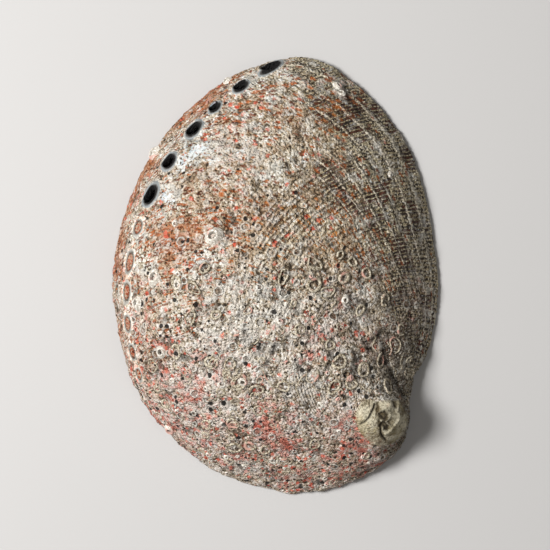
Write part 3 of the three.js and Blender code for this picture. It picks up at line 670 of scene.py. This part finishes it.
mesh.polygons.foreach_set("use_smooth", np.ones(len(mesh.polygons), dtype=bool))
mesh.update()
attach(shell, "root")
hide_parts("shell")

# Worm tubes: chalky tubes about 1 mm thick, coiled or winding, that worms have cemented to the
# shell. Each is a round tube laid along the surface, and all of them are one piece.
random.seed(11)
SPIRE_SEEN = (384, 416)
TUBE_COUNT = 120
bpy.context.view_layer.update()


def near_hole(px, py, reach):
    """Whether a point of the view from above lies within that many pixels of a hole's centre."""
    sx, sy = photo_place(px, py)
    return any(math.hypot(sx - hx, sy - hy) < reach * PIXEL for hx, hy in zip(hole_x, hole_y))


def surface_at(px, py):
    """Point and outward direction of the shell where the view from above sees that point."""
    sx, sy = photo_place(px, py)
    eye = Vector((0, 0, CAMERA_HEIGHT * MM))
    aim = (Vector((sx * MM, sy * MM, 0)) - eye).normalized()
    hit, spot, normal, face = shell.ray_cast(eye, aim)
    return (spot, normal) if hit else (None, None)


def lay_tube(path, thickness):
    """A tube of that half thickness in mm along points in metres, as a curve object."""
    curve = bpy.data.curves.new("tube", "CURVE")
    curve.dimensions = "3D"
    curve.bevel_depth = thickness * MM
    curve.bevel_resolution = 1
    curve.use_fill_caps = True
    spline = curve.splines.new("POLY")
    spline.points.add(len(path) - 1)
    for k, spot in enumerate(path):
        spline.points[k].co = (*spot, 1)
        spline.points[k].radius = 0.6 + 0.4 * min(1, k / 5) + random.uniform(-0.22, 0.22)
    tube = bpy.data.objects.new("tube", curve)
    bpy.context.scene.collection.objects.link(tube)
    return tube


def coil_path(px, py, radius, turns, start, sunk):
    """Points of a coil of that radius in pixels, opening outwards, laid on the surface."""
    spot, normal = surface_at(px, py)
    if spot is None:
        return []
    side = normal.orthogonal().normalized()
    other = normal.cross(side)
    path = []
    steps = max(6, int(13 * turns))
    squash = random.uniform(0.75, 1)
    for k in range(steps + 1):
        a = start + k / steps * turns * math.tau
        grow = (1 - 0.5 * max(0, turns - 1) / turns * (1 - k / steps)) * radius * PIXEL * MM
        grow *= 1 + 0.13 * math.sin(2 * a + squash * 40) + 0.08 * math.sin(3 * a + squash * 90)
        want = spot + side * grow * math.cos(a) + other * grow * math.sin(a) * squash
        hit, place, direction, face = shell.ray_cast(want + normal * 0.003, -normal)
        if hit and direction.dot(normal) > 0.3 and (place - want).length < 0.004:
            path.append(place + direction * sunk * MM)
    return path


tubes = []
for px, py, radius, turns in COILS:
    path = coil_path(px, py, radius, turns, random.uniform(0, 6.3), 0.4 if 250 < py < 295 else 0)
    if len(path) > 4:
        tubes.append(lay_tube(path, random.uniform(0.4, 0.62)))
for path_points in (
    ((335, 290), (331, 296), (336, 302), (331, 308), (333, 314)),
    ((262, 368), (266, 378), (272, 385), (279, 388)),
    ((387, 342), (392, 349), (389, 357)),
    ((391, 364), (396, 371), (394, 379)),
    ((404, 352), (400, 362), (403, 372)),
    ((300, 398), (296, 388), (301, 378), (309, 372)),
    ((360, 384), (366, 390), (372, 392)),
    ((226, 330), (233, 336), (241, 334)),
    ((370, 330), (376, 338), (372, 346), (378, 354)),
):
    path = []
    for (ax, ay), (bx, by) in zip(path_points, path_points[1:]):
        for k in range(4):
            spot, normal = surface_at(ax + (bx - ax) * k / 4, ay + (by - ay) * k / 4)
            if spot is not None:
                path.append(spot - normal * 0.05 * MM)
    tubes.append(lay_tube(path, random.uniform(0.32, 0.48)))
while len(tubes) < TUBE_COUNT:
    px, py = random.uniform(115, 425), random.uniform(150, 488)
    keep = 0.05 + 0.95 * min(1, max(0, (py - 250 - 0.3 * (px - 200)) / 90))
    if random.random() > keep or near_hole(px, py, 17) or math.hypot(px - SPIRE_SEEN[0], py - SPIRE_SEEN[1]) < 34:
        continue
    turns = random.choice((0.35, 0.6, 0.9, 1, 1.1, 1.7))
    path = coil_path(px, py, random.uniform(2.6, 5.5), turns, random.uniform(0, 6.3), -0.12)
    if len(path) > 4:
        tubes.append(lay_tube(path, random.uniform(0.28, 0.5)))
bpy.ops.object.select_all(action="DESELECT")
for tube in tubes:
    tube.select_set(True)
bpy.context.view_layer.objects.active = tubes[0]
bpy.ops.object.convert(target="MESH")
bpy.ops.object.join()
worm_tubes = bpy.context.active_object
worm_tubes.name = "worm_tubes"
bpy.ops.object.shade_smooth()


# Rough chalk: grains between two colours, with patches of a third, and painted shade in a barnacle's mouth
chalk_grains = bpy.data.node_groups.new("chalk_grains", "ShaderNodeTree")
for label in ("Dark", "Light", "Blush"):
    chalk_grains.interface.new_socket(label, in_out="INPUT", socket_type="NodeSocketColor")
chalk_grains.interface.new_socket("Mouth", in_out="INPUT", socket_type="NodeSocketFloat")
chalk_grains.interface.new_socket("Color", in_out="OUTPUT", socket_type="NodeSocketColor")
chalk_grains.interface.new_socket("Height", in_out="OUTPUT", socket_type="NodeSocketFloat")
given = add(chalk_grains, "NodeGroupInput").outputs
mm_place = place_in_mm(chalk_grains)
fine = noise_at(chalk_grains, mm_place, 1.4, 3.0, 0.75)
wide = noise_at(chalk_grains, mm_place, 0.16, 3.0, 0.6)
colour = blend(chalk_grains, step(chalk_grains, fine, 0.4, 0.6), given["Dark"], given["Light"])
colour = blend(chalk_grains, step(chalk_grains, wide, 0.56, 0.64), colour, given["Blush"])
# Painted shade in the sunken mouth
colour = blend(chalk_grains, times(chalk_grains, given["Mouth"], 0.85), colour, srgb("#2a2118"))
add(chalk_grains, "NodeGroupOutput", {"Color": colour, "Height": fine})


def chalk_material(name, dark, light, blush):
    """Chalk of those three colours; the mouth attribute paints shade inside a barnacle."""
    material, tree = new_material(name)
    grains = add(tree, "ShaderNodeGroup", {
        "Dark": srgb(dark), "Light": srgb(light), "Blush": srgb(blush), "Mouth": attribute(tree, "mouth")},
        node_tree=chalk_grains).outputs
    bumps = add(tree, "ShaderNodeBump", {"Strength": 0.8, "Distance": 0.0004, "Height": grains["Height"]})
    shader = add(tree, "ShaderNodeBsdfPrincipled", {
        "Base Color": grains["Color"], "Roughness": 0.8, "Specular IOR Level": 0.35, "Normal": bumps.outputs[0]})
    add(tree, "ShaderNodeOutputMaterial", {"Surface": shader.outputs[0]})
    return material


worm_tubes.data.materials.clear()
worm_tubes.data.materials.append(chalk_material("tube_chalk", "#6c5e46", "#cdc3af", "#b98f80"))
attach(worm_tubes, "root")

# Barnacles: low chalky cones with a sunken mouth, cemented to the shell. One is modelled, and
# its copies are scattered over the old part, and joined.
BARNACLE_SPOTS = 70
bpy.ops.object.select_all(action="DESELECT")
bpy.ops.mesh.primitive_cone_add(vertices=14, radius1=1.9 * MM, radius2=1.05 * MM, depth=1.1 * MM)
first = bpy.context.active_object
bpy.ops.object.mode_set(mode="EDIT")
bpy.ops.mesh.select_mode(type="FACE")
bpy.ops.mesh.select_all(action="DESELECT")
bpy.ops.object.mode_set(mode="OBJECT")
for face in first.data.polygons:
    face.select = face.normal.z > 0.9
bpy.ops.object.mode_set(mode="EDIT")
bpy.ops.mesh.inset(thickness=0.3 * MM, depth=0)
bpy.ops.mesh.extrude_region_move(TRANSFORM_OT_translate={"value": (0, 0, -0.8 * MM)})
bpy.ops.transform.resize(value=(0.6, 0.6, 1))
bpy.ops.object.mode_set(mode="OBJECT")
mouth = first.data.attributes.new("mouth", "FLOAT", "POINT")
for vertex in first.data.vertices:
    mouth.data[vertex.index].value = float(math.hypot(vertex.co.x, vertex.co.y) < 0.5 * MM)
barnacles = []
spots_seen = [
    (154, 154, 2.0), (227, 81, 1.3), (267, 62, 1.2), (170, 430, 1.5), (320, 405, 1.1), (345, 300, 1.2),
    (213, 236, 2.3), (155, 277, 2.4), (137, 303, 1.8), (161, 352, 1.6), (178, 285, 1.5), (222, 384, 1.4),
    (243, 382, 1.4), (338, 86, 1.3), (341, 93, 1.1),
]
while len(spots_seen) < BARNACLE_SPOTS:
    px, py = random.uniform(115, 425), random.uniform(90, 488)
    keep = 0.08 + 0.92 * min(1, max(0, (py - 250 - 0.3 * (px - 200)) / 110))
    clear = not near_hole(px, py, 19) and math.hypot(px - SPIRE_SEEN[0], py - SPIRE_SEEN[1]) > 36
    if random.random() < keep and clear:
        spots_seen.append((px, py, random.uniform(0.35, 0.95)))
for px, py, size in spots_seen:
    spot, normal = surface_at(px, py)
    if spot is None:
        continue
    one = first.copy()
    one.data = first.data.copy()
    bpy.context.scene.collection.objects.link(one)
    one.location = spot + normal * 0.15 * size * MM
    one.rotation_mode = "QUATERNION"
    one.rotation_quaternion = normal.to_track_quat("Z", "Y")
    one.scale = (size, size * random.uniform(0.75, 1), size)
    barnacles.append(one)
bpy.data.objects.remove(first)
bpy.ops.object.select_all(action="DESELECT")
for one in barnacles:
    one.select_set(True)
bpy.context.view_layer.objects.active = barnacles[0]
bpy.ops.object.join()
barnacle_piece = bpy.context.active_object
barnacle_piece.name = "barnacles"
bpy.ops.object.transform_apply(location=True, rotation=True, scale=True)
bpy.ops.object.shade_smooth_by_angle(angle=math.radians(50))
barnacle_piece.data.materials.append(chalk_material("barnacle_chalk", "#a1988a", "#e8e3d9", "#c9a094"))
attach(barnacle_piece, "root")

# The floor is a plain pale surface
bpy.ops.object.select_all(action="DESELECT")
bpy.ops.mesh.primitive_plane_add(size=6, location=(0, 0, 0))
floor = bpy.context.active_object
floor.name = "floor"
pale_floor = bpy.data.materials.new("floor")
pale_floor.use_nodes = True
pale_floor.node_tree.nodes["Principled BSDF"].inputs["Base Color"].default_value = (0.46, 0.45, 0.44, 1)
pale_floor.node_tree.nodes["Principled BSDF"].inputs["Roughness"].default_value = 0.9
floor.data.materials.append(pale_floor)

# A large soft lamp to the left, a faint fill from the right, and a dim surrounding light
for name, spot, size, power in (("key", (-0.6, 0.14, 0.9), 0.32, 18.6), ("fill", (0.7, -0.3, 0.9), 0.8, 1.2)):
    bpy.ops.object.light_add(type="AREA", location=spot)
    lamp = bpy.context.active_object
    lamp.name = name
    lamp.data.size = size
    lamp.data.energy = power
    lamp.rotation_euler = (-Vector(spot)).to_track_quat("-Z", "Y").to_euler()
world = bpy.data.worlds.new("studio")
bpy.context.scene.world = world
world.use_nodes = True
world.node_tree.nodes["Background"].inputs["Color"].default_value = (1, 0.97, 0.93, 1)
world.node_tree.nodes["Background"].inputs["Strength"].default_value = 0.2

# The camera looks straight down from 0.8 m, square to the view that the object is known from
bpy.ops.object.camera_add(location=(-0.0003, 0, CAMERA_HEIGHT * MM), rotation=(0, 0, 0))
camera = bpy.context.active_object
camera.data.angle = 2 * math.atan(550 * PIXEL / 2 / CAMERA_HEIGHT)
bpy.context.scene.camera = camera
bpy.context.scene.view_settings.view_transform = "Standard"
